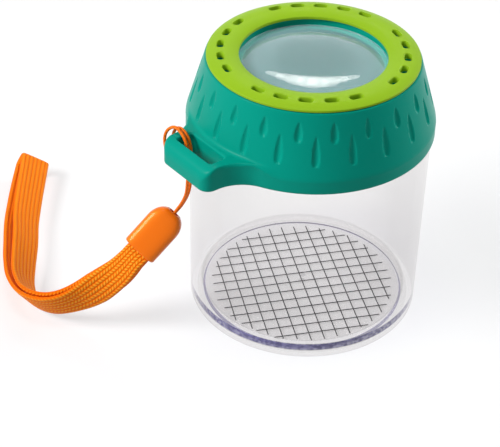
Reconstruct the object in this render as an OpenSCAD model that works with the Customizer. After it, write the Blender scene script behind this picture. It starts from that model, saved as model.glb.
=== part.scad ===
// Bug catcher jar: a clear jar with a measuring grid under its floor, and a screw lid that holds
// a magnifying lens, a ring of air slots and a wrist strap on a cord. Sizes are in millimetres.
// The jar stands on z = 0 with its axis on Z, and the strap handle points along -X.

/* [Jar] */
// Outer radius of the jar at its foot
jar_r = 34.5; // [30:0.1:40]
// Gain in outer radius from the foot to the shoulder
jar_draft = 0.15; // [0:0.05:0.5]
// Height of the shoulder above the table
jar_h = 58.7; // [45:0.1:80]
// Wall thickness of the jar
jar_wall = 3; // [2:0.1:3.6]
// Thickness of the floor
floor_t = 2.2; // [1:0.1:4]
// Height of the foot ring under the floor
foot_h = 0.8; // [0.6:0.1:2]
// Bevel of the jar's outer edges
edge_w = 0.5; // [0.2:0.05:0.6]
// Width of the foot ring
foot_w = 4.2; // [2:0.1:6]
// Radius where the inner wall meets the floor
fillet_r = 1.5; // [0.5:0.1:3]
// Width of the shoulder round the neck
shoulder_w = 2.15; // [1.8:0.05:2.4]
// Height of the neck above the shoulder
neck_h = 8; // [7:0.1:9]
// Wall thickness of the neck
neck_wall = 1.5; // [1:0.1:2]

/* [Measuring grid] */
// Side of one square of the grid
square_w = 4; // [3:0.5:8]
// Width of a printed line
line_w = 0.3; // [0.2:0.05:0.6]
// Thickness of one printed layer of lines
ink_t = 0.14; // [0.1:0.02:0.2]
// Clear rim between the lines and the foot ring
grid_margin = 2.3; // [1:0.1:6]
// Turn of the grid about the jar's axis
grid_turn = -26; // [-45:1:45]

/* [Thread] */
// Rise of the lid in one turn
thread_lead = 12; // [10:0.5:14]
// Number of thread starts
thread_starts = 4; // [3:1:5]
// Radial depth of a thread ridge
ridge_d = 0.8; // [0.6:0.05:0.9]
// Height of a thread ridge at its crest
ridge_h = 0.7; // [0.4:0.05:0.9]
// Arc of one ridge on the jar
jar_ridge_arc = 50; // [30:1:60]
// Arc of one ridge in the lid
lid_ridge_arc = 40; // [25:1:50]
// Height of the jar's ridges above the shoulder, at their start
ridge_rise = 3.3; // [3:0.1:3.8]
// Radial running gap of the thread
thread_gap = 0.4; // [0.3:0.05:0.5]

/* [Lid] */
// How far the skirt stands out past the jar
lid_over = 0.9; // [0.6:0.05:2]
// Height of the lid from its skirt to the seat of the vent ring
lid_h = 22; // [20:0.1:26]
// Height of the upright skirt
skirt_h = 4.4; // [3:0.1:5]
// Inward draft of the skirt
skirt_draft = 0.08; // [0:0.02:0.2]
// Loss in radius from the crease to the top
cone_in = 5.32; // [4:0.1:6.5]
// Wall thickness of the lid
lid_wall = 1.45; // [1.2:0.05:1.6]
// Thickness of the flange under the vent ring
flange_t = 1.4; // [1:0.1:2]
// Gap between the skirt and the jar's shoulder
lid_gap = 0.3; // [0.2:0.05:1]

/* [Grip dimples] */
// Number of dimples in each of the two rows
dimple_count = 21; // [12:1:24]
// Width of a dimple
dimple_w = 2.2; // [1.6:0.1:2.8]
// Depth of a dimple
dimple_d = 0.55; // [0.3:0.05:0.7]
// Length of a dimple in the upper row
short_l = 5.8; // [4:0.1:7]
// Length of a dimple in the lower row
long_l = 9; // [7:0.1:10]
// Height of the upper row's middle above the skirt's edge
short_rise = 17; // [15:0.1:18]
// Height of the lower row's middle above the skirt's edge
long_rise = 12; // [10:0.1:13]

/* [Lens] */
// Distance from the lens to the lid's top edge
rim_w = 8.85; // [8.4:0.05:10]
// Thickness of the lens at its rim
lens_rim_t = 1.7; // [1:0.1:2.4]
// Height of the domed upper face over the rim
lens_dome = 1.9; // [1:0.1:3]
// Width of the flat rim round the dome
lens_flat_w = 1.6; // [1.5:0.1:3]
// Depth of the lens seat below the vent ring
seat_depth = 3.7; // [3:0.1:5]
// Width of the ledge that the lens lies on
ledge_w = 1.5; // [0.8:0.1:1.5]
// Thickness of the ledge
ledge_t = 1.1; // [0.8:0.1:2]
// Wall thickness of the lens collar
collar_wall = 1.5; // [1:0.1:1.6]
// Radial gap round the lens
lens_gap = 0.3; // [0.2:0.05:0.5]

/* [Vent ring] */
// Step between the lid's top edge and the vent ring
ring_step = 0.35; // [0.2:0.05:1]
// How far the vent ring reaches over the lens
ring_over = 0.6; // [0.3:0.1:1]
// Thickness of the vent ring at its edge
ring_edge_t = 0.8; // [0.6:0.1:1.2]
// Rise of the crown over the edge
crown_h = 1; // [0.5:0.1:1.5]
// Depth and height of the shadow groove under the rim
groove = 0.25; // [0.15:0.05:0.4]
// Length of an air slot round the ring
slot_l = 4; // [3:0.1:5]
// Width of an air slot
slot_w = 2; // [1:0.1:2.5]
// Distance of the slots' middle from the rim
slot_edge = 3.8; // [3:0.1:4.5]
// Number of slot places round the ring, four of which stay closed
slot_places = 24; // [16:4:24]

/* [Handle] */
// Distance of the handle's outer face from the jar's axis
handle_reach = 45.3; // [44:0.1:50]
// Width of the handle across its outer bar
handle_w = 20.6; // [18:0.2:26]
// Height of the handle
handle_h = 7; // [6:0.1:8]
// Thickness of the outer bar
bar_t = 3.8; // [3:0.1:5]
// Length of the slot in the handle
strap_slot_l = 15; // [14:0.1:16]
// Width of the slot in the handle
strap_slot_w = 5; // [4.6:0.1:5.2]
// Radius of the handle's upper outer edge
brow_r = 4; // [1:0.1:5]
// Radius of the handle's corners in plan
corner_r = 3; // [1:0.1:3]
// Radius of the hollows between the handle and the skirt
hollow_r = 11.5; // [8:0.5:16]

/* [Wrist strap] */
// Width of the webbing
strap_w = 9.8; // [8:0.1:10]
// Thickness of one ply of the webbing
ply_t = 1.4; // [1:0.1:1.5]
// Width of the webbing where it enters the end cap
strap_neck_w = 7.6; // [6:0.1:8]
// Gap between the two plies at the end cap
ply_gap = 0.3; // [0.2:0.05:0.4]
// Gap between the two plies near the fold
fold_gap = 1.8; // [1:0.1:2]

/* [End cap and cord] */
// Width of the end cap
cap_w = 10.4; // [10:0.1:12]
// Thickness of the end cap
cap_t = 6; // [5.4:0.1:7]
// Length of the end cap
cap_l = 15; // [13:0.1:18]
// Depth of the webbing's socket in the end cap
socket_d = 4; // [2:0.1:5]
// Gap round the webbing and the cord in the end cap
cap_gap = 0.25; // [0.15:0.05:0.4]
// Diameter of the cord
cord_d = 1.2; // [1:0.1:1.2]

/* [Hidden] */
$fn = 96;

// Overrun of every cut past the face that it opens
cut = 0.5;

// Gap between the two printed layers
ink_gap = 0.03;

// Radii of the jar
jar_top_r = jar_r + jar_draft;
bore_r = jar_top_r - jar_wall;
foot_in_r = jar_r - foot_w;
neck_r = jar_top_r - shoulder_w;
mouth_r = neck_r - neck_wall;

// Heights of the jar
floor_z = foot_h + floor_t;
neck_z = jar_h + neck_h;
bore_top_z = jar_h - shoulder_w / 2;

// Thread: the lid's ridges run midway between the jar's
thread_pitch = thread_lead / thread_starts;
ridge_z = jar_h + ridge_rise;
ridge_lap = ridge_d / 3;
// Share of its depth that a ridge has at its two ends
ridge_end = 0.45;
skirt_in_r = neck_r + ridge_d + thread_gap;
lid_crest_r = neck_r + thread_gap;

// Lid
lid_z = jar_h + lid_gap;
lid_r = jar_top_r + lid_over;
crease_r = lid_r - skirt_draft;
crease_z = lid_z + skirt_h;
lid_top_r = crease_r - cone_in;
lid_top_z = lid_z + lid_h;
flange_z = lid_top_z - flange_t;
cone_slope = cone_in / (lid_top_z - crease_z);
cone_lean = atan(cone_slope);
function cone_r(z) = crease_r - cone_slope * (z - crease_z);
inner_crease_z = crease_z + (crease_r - lid_wall - skirt_in_r) / cone_slope;
stop_z = neck_z + lid_gap;
stop_t = lid_wall;

// Lens and its seat
lens_r = lid_top_r - rim_w;
well_r = lens_r + lens_gap;
ledge_r = lens_r - ledge_w;
seat_z = lid_top_z - seat_depth;
dome_r = lens_r - lens_flat_w;
dome_curve_r = (pow(dome_r, 2) + pow(lens_dome, 2)) / (2 * lens_dome);

// Vent ring
ring_r = lid_top_r - ring_step;
ring_in_r = lens_r - ring_over;
ring_mid_r = (ring_r + ring_in_r) / 2;
crown_half_w = (ring_r - ring_in_r) / 2;
crown_curve_r = (pow(crown_half_w, 2) + pow(crown_h, 2)) / (2 * crown_h);
slot_r = ring_r - slot_edge;
slot_pitch = 360 / slot_places;

// Dimples: a ball at the foot and a cone that runs out at the surface
dimple_r = (pow(dimple_w / 2, 2) + pow(dimple_d, 2)) / (2 * dimple_d);
dimple_out = dimple_r - dimple_d;
dimple_tip_r = dimple_d / 3;

// Handle
handle_z = lid_z;
handle_top_z = lid_z + handle_h;
slot_out_x = handle_reach - bar_t;
slot_in_x = slot_out_x - strap_slot_w;
hollow_y = handle_w / 2 + hollow_r;
hollow_x = sqrt(pow(lid_r + hollow_r, 2) - pow(hollow_y, 2));
web_half_w = hollow_y * lid_r / (lid_r + hollow_r);

// The end cap hangs with its flat end low; its axis leans from Z, and its wide face is rolled
cap_foot = [-50.9, 13.7, 28];
cap_lean = 48;
cap_turn = -11;
cap_roll = -46;
cap_axis = [sin(cap_lean) * cos(cap_turn), sin(cap_lean) * sin(cap_turn), cos(cap_lean)];

// Route of the folded wrist strap from the end cap to its fold, with the lean of its upper edge
strap_route = [[-49.4, 13.4, 29.4, -45], [-52.2, 14.2, 26.4, -42], [-56.6, 17.4, 19.8, -28],
    [-63.9, 23.8, 11.6, 4], [-71, 30.2, 7.5, 24], [-74.1, 38.4, 6.1, 33], [-72.5, 46.6, 5.6, 38],
    [-68, 54.8, 5.4, 42], [-62.5, 63.2, 5.3, 46], [-56.9, 72, 5.3, 48], [-50.6, 80.6, 5.4, 49],
    [-43.8, 89.4, 5.5, 50], [-37, 98, 5.5, 52]];
// Shares of its length between which the strap widens
widening = [0.1, 0.22];

// Route of the cord: up from the cap, through the handle's slot, over its far arm, round the two
// standing strands and back the same way
cord_route = [[-41.7, 12.3, 35.6], [-39.5, 11.8, 37.6], [-37.8, 11.3, 39.4], [-37.2, 10.2, 41.8],
    [-37.5, 8.6, 44.4], [-37.9, 7, 47.5], [-38.2, 6, 50.6], [-38.4, 5.5, 54.6], [-38.5, 5.2, 59],
    [-38.5, 5.2, 63], [-38.6, 6.4, 66], [-38.8, 8.7, 67.4], [-39, 11, 66.6], [-39.2, 12.3, 64.2],
    [-39.2, 12.5, 61.4], [-38.8, 11.6, 58.9], [-37.8, 9.2, 57.3], [-36.8, 6.4, 57], [-37, 3.8, 57],
    [-39.1, 2.3, 57], [-41.2, 3.6, 57], [-41.5, 6.4, 57], [-41.3, 9.4, 57.3], [-41.3, 12.2, 58.6],
    [-41.2, 13.6, 61.2], [-41, 13.6, 64], [-40.6, 12.3, 66.4], [-40.2, 10, 67.9],
    [-39.9, 7.6, 67.2], [-39.9, 5.6, 65.4], [-39.9, 4.7, 62.6], [-39.9, 4.8, 59],
    [-39.8, 5, 54.6], [-39.6, 5.6, 50.6], [-39.3, 6.5, 47.5], [-39, 8, 44.4], [-38.8, 9.7, 41.6],
    [-39, 10.6, 40], [-40.4, 10.9, 38.4], [-42.6, 11.4, 36.4]];

strap_rings = 19;
fold_rings = 4;
cord_sides = 8;

// A point of a smooth curve through the list p, where t counts in list steps
function along(p, t) =
    let (i = min(floor(t), len(p) - 2), u = t - i, b = p[i], c = p[i + 1],
         a = i > 0 ? p[i - 1] : 2 * b - c, d = i + 2 < len(p) ? p[i + 2] : 2 * c - b)
    (2 * b + (c - a) * u + (2 * a - 5 * b + 4 * c - d) * pow(u, 2)
     + (3 * b - a - 3 * c + d) * pow(u, 3)) / 2;
function unit(v) = v / norm(v);
function place(p) = [p[0], p[1], p[2]];
function heading(p, i) = unit(place(p[min(i + 1, len(p) - 1)]) - place(p[max(i - 1, 0)]));

// Closed skin over a list of rings, each with its points counterclockwise about the way it goes
module skin(rings) {
    n = len(rings[0]);
    last = (len(rings) - 1) * n;
    sides = [for (i = [0:len(rings) - 2], j = [0:n - 1], k = [0, 1])
        let (a = i * n + j, b = i * n + (j + 1) % n)
        k == 0 ? [a, a + n, b + n] : [a, b + n, b]];
    starts = [for (j = [1:n - 2]) [0, j, j + 1]];
    ends = [for (j = [1:n - 2]) [last, last + j + 1, last + j]];
    polyhedron([for (ring = rings) each ring], concat(starts, sides, ends));
}

// One ring of a thread ridge at angle a, from the root radius r0 to the crest radius r1
function ridge_ring(a, r0, r1, z) =
    let (h0 = (ridge_h + ridge_d) / 2, h1 = ridge_h / 2, c = cos(a), s = sin(a),
         q = [[r0 * c, r0 * s, z - h0], [r0 * c, r0 * s, z + h0],
              [r1 * c, r1 * s, z + h1], [r1 * c, r1 * s, z - h1]])
    r1 > r0 ? q : [q[3], q[2], q[1], q[0]];

// The ridges of one thread, which run in and out at their ends
module ridges(arc, first, r0, r1, z) {
    steps = 12;
    for (k = [0:thread_starts - 1])
        skin([for (i = [0:steps])
            let (turned = first + arc * i / steps, ramp = min(1, i / 2, (steps - i) / 2),
                 depth = (r1 - r0) * (ridge_end + (1 - ridge_end) * ramp))
            ridge_ring(turned + k * 360 / thread_starts, r0, r0 + depth,
                       z + thread_lead * turned / 360)]);
}

module jar() {
    color([0.93, 0.93, 0.95, 0.35]) {
        rotate_extrude() difference() {
            union() {
                polygon([[0, foot_h], [foot_in_r, foot_h], [foot_in_r, 0],
                         [jar_r - edge_w, 0], [jar_r, edge_w],
                         [jar_top_r, jar_h - edge_w], [jar_top_r - edge_w, jar_h],
                         [0, jar_h]]);
                square([neck_r, neck_z]);
            }
            square([foot_in_r, foot_h]);
            jar_bore();
        }
        ridges(jar_ridge_arc, 0, neck_r - ridge_lap, neck_r + ridge_d, ridge_z);
    }
}

// Half outline of the space inside the jar
module jar_bore() {
    translate([0, floor_z + fillet_r]) square([bore_r, bore_top_z - floor_z - fillet_r]);
    translate([0, floor_z]) square([bore_r - fillet_r, fillet_r * 2]);
    translate([bore_r - fillet_r, floor_z + fillet_r]) circle(fillet_r);
    polygon([[0, bore_top_z], [bore_r, bore_top_z], [mouth_r, jar_h + shoulder_w / 2],
             [mouth_r, neck_z + cut], [0, neck_z + cut]]);
}

// One layer of parallel lines, as long as the round field allows, with their ends not quite even
module grid_layer() {
    field_r = foot_in_r - grid_margin;
    reach = floor(field_r / square_w - line_w / square_w);
    for (i = [-reach:reach]) {
        half = sqrt(pow(field_r, 2) - pow(i * square_w, 2)) - line_w * (1 + sin(i * 137));
        translate([i * square_w - line_w / 2, -half, 0]) cube([line_w, 2 * half, ink_t]);
    }
}

module measuring_grid() {
    color([0.35, 0.33, 0.36]) rotate([0, 0, grid_turn]) {
        translate([0, 0, foot_h - ink_t]) grid_layer();
        translate([0, 0, foot_h - 2 * ink_t - ink_gap]) rotate([0, 0, 90]) grid_layer();
    }
}

// Air slots through the vent ring and the flange, with the four cross places left closed
module air_slots(z, h) {
    for (i = [0:slot_places - 1])
        if (i % (slot_places / 4) != 0)
            rotate([0, 0, i * slot_pitch]) translate([slot_r, 0, z]) {
                translate([-slot_w / 2, -(slot_l - slot_w) / 2, 0])
                    cube([slot_w, slot_l - slot_w, h]);
                for (side = [-1, 1])
                    translate([0, side * (slot_l - slot_w) / 2, 0]) cylinder(h = h, d = slot_w);
            }
}

module dimple(l, rise, first) {
    taper_l = l - dimple_w / 2;
    tilt = asin((dimple_out - dimple_tip_r) / taper_l);
    for (k = [0:dimple_count - 1])
        rotate([0, 0, first + k * 360 / dimple_count])
            translate([cone_r(lid_z + rise), 0, lid_z + rise]) rotate([0, -cone_lean, 0])
                translate([dimple_out, 0, dimple_w / 2 - l / 2]) {
                    sphere(dimple_r, $fn = 32);
                    rotate([0, -tilt, 0])
                        cylinder(h = taper_l, r1 = dimple_r, r2 = dimple_tip_r, $fn = 32);
                }
}

// Turned shell of the lid, with the collar of the lens and the stop that meets the neck
module lid_shell() {
    rotate_extrude() polygon([[skirt_in_r, lid_z], [lid_r, lid_z], [crease_r, crease_z],
        [lid_top_r, lid_top_z], [well_r, lid_top_z], [well_r, seat_z], [ledge_r, seat_z],
        [ledge_r, seat_z - ledge_t], [well_r + collar_wall, seat_z - ledge_t],
        [well_r + collar_wall, flange_z], [cone_r(flange_z) - lid_wall, flange_z],
        [cone_r(stop_z + stop_t) - lid_wall, stop_z + stop_t], [mouth_r, stop_z + stop_t],
        [mouth_r, stop_z], [cone_r(stop_z) - lid_wall, stop_z], [skirt_in_r, inner_crease_z]]);
}

// Handle on the side of the skirt, hollowed towards the skirt in plan
module handle() {
    difference() {
        union() {
            translate([-slot_out_x, -handle_w / 2, handle_z])
                cube([slot_out_x, handle_w, handle_h]);
            translate([-hollow_x, -web_half_w, handle_z])
                cube([hollow_x, 2 * web_half_w, handle_h]);
            rotate([90, 0, 0]) linear_extrude(handle_w, center = true) bar_outline();
        }
        for (side = [-1, 1]) {
            translate([-hollow_x, side * hollow_y, handle_z - cut])
                cylinder(h = handle_h + 2 * cut, r = hollow_r);
            corner(side);
        }
        translate([-slot_out_x, -strap_slot_l / 2, handle_z - cut])
            cube([strap_slot_w, strap_slot_l, handle_h + 2 * cut]);
        translate([0, 0, handle_z - cut]) cylinder(h = handle_h + 2 * cut, r = skirt_in_r);
    }
}

// Section of the handle's outer bar, with its round upper edge
module bar_outline() {
    intersection() {
        translate([-handle_reach, handle_z]) square([handle_reach - slot_out_x + cut, handle_h]);
        union() {
            translate([brow_r - handle_reach, handle_top_z - brow_r]) circle(brow_r);
            translate([-handle_reach, handle_z]) square([handle_reach, handle_h - brow_r]);
            translate([brow_r - handle_reach, handle_z]) square([handle_reach, handle_h]);
        }
    }
}

// What rounds one outer corner of the handle
module corner(side) {
    translate([corner_r - handle_reach, side * (handle_w / 2 - corner_r), handle_z - cut])
        difference() {
            translate([-corner_r - cut, side > 0 ? 0 : -corner_r - cut, 0])
                cube([corner_r + cut, corner_r + cut, handle_h + 2 * cut]);
            cylinder(h = handle_h + 2 * cut, r = corner_r);
        }
}

module lid() {
    color([0.1, 0.62, 0.52]) {
        difference() {
            union() {
                lid_shell();
                handle();
            }
            air_slots(flange_z - cut, flange_t + 2 * cut);
            dimple(short_l, short_rise, 0);
            dimple(long_l, long_rise, 180 / dimple_count);
            lid_bore();
        }
        ridges(lid_ridge_arc, (jar_ridge_arc - lid_ridge_arc) / 2, skirt_in_r + ridge_lap,
               lid_crest_r, ridge_z - thread_pitch / 2);
    }
}

// Space that the handle must leave open inside the skirt
module lid_bore() {
    translate([0, 0, lid_z - cut]) cylinder(h = inner_crease_z - lid_z + cut, r = skirt_in_r);
}

module vent_ring() {
    color([0.6, 0.8, 0.12]) difference() {
        rotate_extrude() difference() {
            union() {
                translate([ring_in_r, lid_top_z]) square([ring_r - ring_in_r, ring_edge_t]);
                intersection() {
                    translate([ring_mid_r, lid_top_z + ring_edge_t + crown_h - crown_curve_r])
                        circle(crown_curve_r);
                    translate([ring_in_r, lid_top_z])
                        square([ring_r - ring_in_r, ring_edge_t + crown_h]);
                }
            }
            translate([ring_r - 2 * groove, lid_top_z - cut]) square([4 * groove, groove + cut]);
        }
        air_slots(lid_top_z - cut, ring_edge_t + crown_h + 2 * cut);
    }
}

// A magnifier with a flat underside and a domed upper face inside its flat rim
module lens() {
    color([0.9, 0.95, 0.97, 0.4]) translate([0, 0, seat_z]) {
        cylinder(h = lens_rim_t, r = lens_r);
        intersection() {
            translate([0, 0, lens_rim_t + lens_dome - dome_curve_r])
                sphere(dome_curve_r, $fn = 360);
            translate([0, 0, lens_rim_t / 2])
                cylinder(h = lens_rim_t / 2 + lens_dome + cut, r = dome_r);
        }
    }
}

// Ring points of the cord at step i of its route
function cord_ring(i) =
    let (t = heading(cord_route, i), e = unit(cross([0, 1, 0], t)), f = cross(t, e))
    [for (k = [0:cord_sides - 1]) let (a = k * 360 / cord_sides)
        cord_route[i] + cord_d / 2 * (e * cos(a) + f * sin(a))];

module strap_cord() {
    color([0.93, 0.5, 0.1]) skin([for (i = [0:len(cord_route) - 1]) cord_ring(i)]);
}

// Flat oval, w across and t thick, as an area
module oval(w, t) {
    square([w - t, t], center = true);
    for (side = [-1, 1]) translate([side * (w - t) / 2, 0]) circle(t / 2);
}

module cord_cap() {
    neck_t = 2 * ply_t + ply_gap + 2 * cap_gap;
    hole_d = 2 * cord_d + 3 * cap_gap;
    color([0.95, 0.5, 0.08]) translate(cap_foot) rotate([0, cap_lean, cap_turn])
        rotate([0, 0, cap_roll]) difference() {
            intersection() {
                linear_extrude(cap_l) oval(cap_w, cap_t);
                union() {
                    cylinder(h = cap_l - cap_w / 2, d = cap_w);
                    translate([0, cap_t / 2, cap_l - cap_w / 2]) rotate([90, 0, 0])
                        cylinder(h = cap_t, d = cap_w);
                }
            }
            translate([-strap_neck_w / 2 - cap_gap, -neck_t / 2, -cut])
                cube([strap_neck_w + 2 * cap_gap, neck_t, socket_d + cut]);
            translate([0, 0, cap_l - socket_d]) cylinder(h = socket_d + cut, d = hole_d);
        }
}

// Where the strap is at share s of its length: middle, heading, width and thickness directions
function strap_at(s) =
    let (last = len(strap_route) - 1, e = 1 / last, p = along(strap_route, s * last),
         a = along(strap_route, max(0, s * last - e)),
         b = along(strap_route, min(last, s * last + e)),
         t = unit(place(b) - place(a)), h = unit(cross([0, 0, 1], t)), up = cross(t, h),
         lean = p[3])
    [place(p), t, cos(lean) * up + sin(lean) * h, cos(lean) * h - sin(lean) * up];
function strap_width(s) =
    let (share = (s - widening[0]) / (widening[1] - widening[0]))
    strap_neck_w + (strap_w - strap_neck_w) * max(0, min(1, share));
function ply_shift(s) = (ply_t + ply_gap + (fold_gap - ply_gap) * pow(s, 2)) / 2;

// Ring of one ply: middle m, thickness direction n, width direction w, width b
function ply_ring(m, n, w, b) =
    let (x = ply_t / 2, y = b / 2, c = ply_t / 4)
    [for (q = [[x, c - y], [x, y - c], [x - c, y], [c - x, y],
               [-x, y - c], [-x, c - y], [c - x, -y], [x - c, -y]]) m + q[0] * n + q[1] * w];

// Ring of one ply at share s of the strap, on its outer side (1) or inner side (-1)
function side_ring(s, side) =
    let (f = strap_at(s))
    ply_ring(f[0] + side * ply_shift(s) * f[3], side * f[3], f[2], strap_width(s));

module wrist_strap() {
    last = strap_rings - 1;
    end = strap_at(1);
    out = [for (i = [0:last]) side_ring(i / last, 1)];
    fold = [for (i = [1:fold_rings])
        let (a = i * 180 / (fold_rings + 1), n = cos(a) * end[3] + sin(a) * end[1])
        ply_ring(end[0] + ply_shift(1) * n, n, end[2], strap_w)];
    back = [for (i = [last:-1:0]) side_ring(i / last, -1)];
    color([0.95, 0.55, 0.12]) skin(concat(out, fold, back));
}

jar();
measuring_grid();
lid();
vent_ring();
lens();
strap_cord();
cord_cap();
wrist_strap();
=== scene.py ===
"""Bug catcher jar with a screw lid, a lens, an air ring and a wrist strap.

Every visible piece but the printed grid is modelled here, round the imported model, which is loaded
first and keeps its place. Outlines and routes are in millimetres, and meshes in metres.
"""
import math
from types import SimpleNamespace

import bmesh
import bpy
from bpy.props import FloatProperty, FloatVectorProperty, IntProperty, PointerProperty
from mathutils import Matrix, Quaternion, Vector


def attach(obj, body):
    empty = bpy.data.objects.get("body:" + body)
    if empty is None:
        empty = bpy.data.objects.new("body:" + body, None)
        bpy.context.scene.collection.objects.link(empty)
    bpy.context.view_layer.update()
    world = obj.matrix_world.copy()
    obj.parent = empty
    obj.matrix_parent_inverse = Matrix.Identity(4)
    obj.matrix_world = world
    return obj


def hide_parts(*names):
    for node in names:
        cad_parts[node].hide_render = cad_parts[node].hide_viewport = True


bl_info = {
    "name": "Bug Catcher Jar",
    "version": (1, 0, 0),
    "blender": (4, 5, 0),
    "location": "View3D > Sidebar > Bug Jar",
    "description": "Builds the pieces of a bug catcher jar and its studio",
    "category": "Add Mesh",
}

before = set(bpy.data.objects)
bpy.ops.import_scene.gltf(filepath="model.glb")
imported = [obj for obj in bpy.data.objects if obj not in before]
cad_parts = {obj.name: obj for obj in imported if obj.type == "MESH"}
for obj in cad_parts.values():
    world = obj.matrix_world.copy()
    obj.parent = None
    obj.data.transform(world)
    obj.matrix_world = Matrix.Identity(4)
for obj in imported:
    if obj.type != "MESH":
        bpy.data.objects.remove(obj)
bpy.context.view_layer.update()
MM = 0.001
# Rise of the lid in one turn of its thread, in millimetres
THREAD_LEAD = 12
LENS_IOR = 1.49
# Ribs across one ply of the webbing
RIBS = 7


# Properties

def length(name, description, millimetres):
    return FloatProperty(name=name, description=description, default=millimetres * MM, min=0,
                         unit="LENGTH", precision=5)


def colour(name, description, red, green, blue):
    return FloatVectorProperty(name=name, description=description, default=(red, green, blue),
                               min=0, max=1, size=3, subtype="COLOR")


class JarSizes(bpy.types.PropertyGroup):
    """Sizes of the clear jar"""
    foot_r: length("Foot radius", "Outer radius of the jar at its foot", 34.5)
    top_r: length("Shoulder radius", "Outer radius of the jar at its shoulder", 34.65)
    foot_in_r: length("Foot ring radius", "Inner radius of the ring that the jar stands on", 30.3)
    bore_r: length("Bore radius", "Inner radius of the jar", 31.65)
    neck_r: length("Neck radius", "Outer radius of the neck", 32.5)
    mouth_r: length("Mouth radius", "Inner radius of the neck", 31.0)
    foot_h: length("Foot height", "Height of the foot ring under the floor", 0.8)
    floor_z: length("Floor height", "Height of the floor's upper face", 3.0)
    shoulder_z: length("Shoulder height", "Height of the shoulder", 58.7)
    neck_z: length("Neck height", "Height of the jar's rim", 66.7)
    ridge_z: length("Ridge height", "Height at which each thread ridge starts", 62.0)
    ridge_d: length("Ridge depth", "Radial depth of a thread ridge", 0.8)
    rim_low: length("Rim start", "Height where the violet rim of the base starts", 2.7)
    rim_high: length("Rim end", "Height where the violet rim of the base ends", 5.2)
    gate_r: length("Gate mark", "Radius of the moulding mark at the floor's middle", 1.0)


class LidSizes(bpy.types.PropertyGroup):
    """Sizes of the lid with its strap handle"""
    skirt_r: length("Skirt radius", "Outer radius of the skirt", 35.55)
    skirt_z: length("Skirt height", "Height of the skirt's lower edge", 59.0)
    draft: length("Skirt draft", "How much the skirt narrows up to the crease", 0.08)
    crease_z: length("Crease height", "Height where the skirt turns into the cone", 63.4)
    top_r: length("Top radius", "Outer radius of the lid's upper edge", 30.15)
    top_z: length("Top height", "Height of the seat of the air ring", 81.0)
    wall: length("Wall", "Thickness of the cone's wall", 1.45)
    inner_r: length("Inner radius", "Inner radius of the skirt", 33.7)
    reach: length("Handle reach", "Distance of the handle's outer face from the axis", 45.3)
    half_w: length("Handle half width", "Half the width of the handle", 10.3)
    ledge_z: length("Handle top", "Height of the handle's upper face", 66.0)
    brow_r: length("Handle brow", "Radius of the handle's upper outer edge", 4.0)
    corner_r: length("Handle corner", "Radius of the handle's outer corners", 3.0)
    hollow_r: length("Handle hollow", "Radius of the hollows beside the handle", 11.5)
    edge_r: length("Handle edge", "Rounding of the handle's side edges", 1.1)
    dimple_w: length("Dimple width", "Width of a grip dimple", 2.3)
    dimple_d: length("Dimple depth", "Depth of a grip dimple", 0.6)
    dimple_count: IntProperty(name="Dimples", description="Dimples in each row", default=21)


class RingSizes(bpy.types.PropertyGroup):
    """Sizes of the air ring and the lens under it"""
    inner_r: length("Ring inner radius", "Inner radius of the air ring", 20.7)
    outer_r: length("Ring outer radius", "Outer radius of the air ring", 29.8)
    edge_t: length("Ring edge", "Thickness of the air ring at its edges", 0.8)
    crown_h: length("Ring crown", "Rise of the ring's crown over its edges", 1.0)
    slot_r: length("Slot circle", "Radius of the circle of air slots", 26.0)
    slot_l: length("Slot length", "Length of an air slot", 4.0)
    slot_w: length("Slot width", "Width of an air slot", 2.0)
    lens_r: length("Lens radius", "Radius of the lens at its rim", 21.3)
    lens_z: length("Lens seat", "Height of the ledge that the lens lies on", 77.3)
    lens_rim: length("Lens rim", "Thickness of the lens at its rim", 1.7)
    dome_r: length("Dome radius", "Radius of the lens's domed face", 19.7)
    dome_h: length("Dome height", "Height of the domed face over the rim", 1.9)


class StrapSizes(bpy.types.PropertyGroup):
    """Sizes of the wrist strap, its cord and its end cap"""
    width: length("Webbing width", "Width of the webbing", 9.8)
    neck_w: length("Webbing neck", "Width of the webbing at the end cap", 7.6)
    ply_t: length("Ply", "Thickness of one ply of the webbing", 1.4)
    cap_gap: length("Gap at the cap", "Gap between the plies at the end cap", 0.3)
    fold_gap: length("Gap at the fold", "Gap between the plies at the fold", 3.7)
    cord_d: length("Cord diameter", "Diameter of the cord", 0.9)
    cap_w: length("Cap width", "Width of the end cap", 10.4)
    cap_t: length("Cap thickness", "Thickness of the end cap", 6.0)
    cap_l: length("Cap length", "Length of the end cap", 15.0)


class JarColours(bpy.types.PropertyGroup):
    """Colours of the pieces"""
    clear: colour("Clear plastic", "Tint of the jar", 0.963, 0.956, 0.954)
    haze: colour("Haze", "Colour of the haze in the jar's plastic", 0.34, 0.32, 0.34)
    passed: colour("Passed light", "Tint of the lamps' light that passes the jar", 0.93, 0.92, 0.96)
    # Violet of the thick base, painted dark as shade for the light that the base bends away
    rim: colour("Base rim", "Colour of the rim of the jar's thick base", 0.1, 0.085, 0.32)
    lens: colour("Lens plastic", "Tint of the lens", 0.97, 0.985, 0.985)
    # A teal-grey film over the lens: partly haze, partly painted reflection
    haze_and_painted_reflection: colour("Lens haze", "Colour of the haze on the lens", 0.45, 0.66, 0.7)
    ink: colour("Grid ink", "Colour of the printed lines", 0.012, 0.012, 0.014)
    teal: colour("Lid plastic", "Colour of the lid", 0.0, 0.305, 0.226)
    lime: colour("Ring plastic", "Colour of the air ring", 0.275, 0.475, 0.014)
    cap: colour("Cap plastic", "Colour of the end cap", 0.93, 0.165, 0.002)
    # Tints the gloss of the orange pieces, and is also painted on the webbing's stitch crests as a
    # highlight
    glint: colour("Orange glint", "Colour of the gloss on the orange pieces", 1.0, 0.6, 0.07)
    webbing: colour("Webbing", "Colour of the wrist strap", 0.99, 0.21, 0.001)
    # Painted shade: the colour of the crevices between the strands of the webbing and the cord
    painted_crevice_shade: colour("Webbing crevices", "Colour between the webbing's strands", 0.82, 0.1, 0.001)
    floor: colour("Floor", "Colour of the studio floor", 0.92, 0.92, 0.93)


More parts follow.
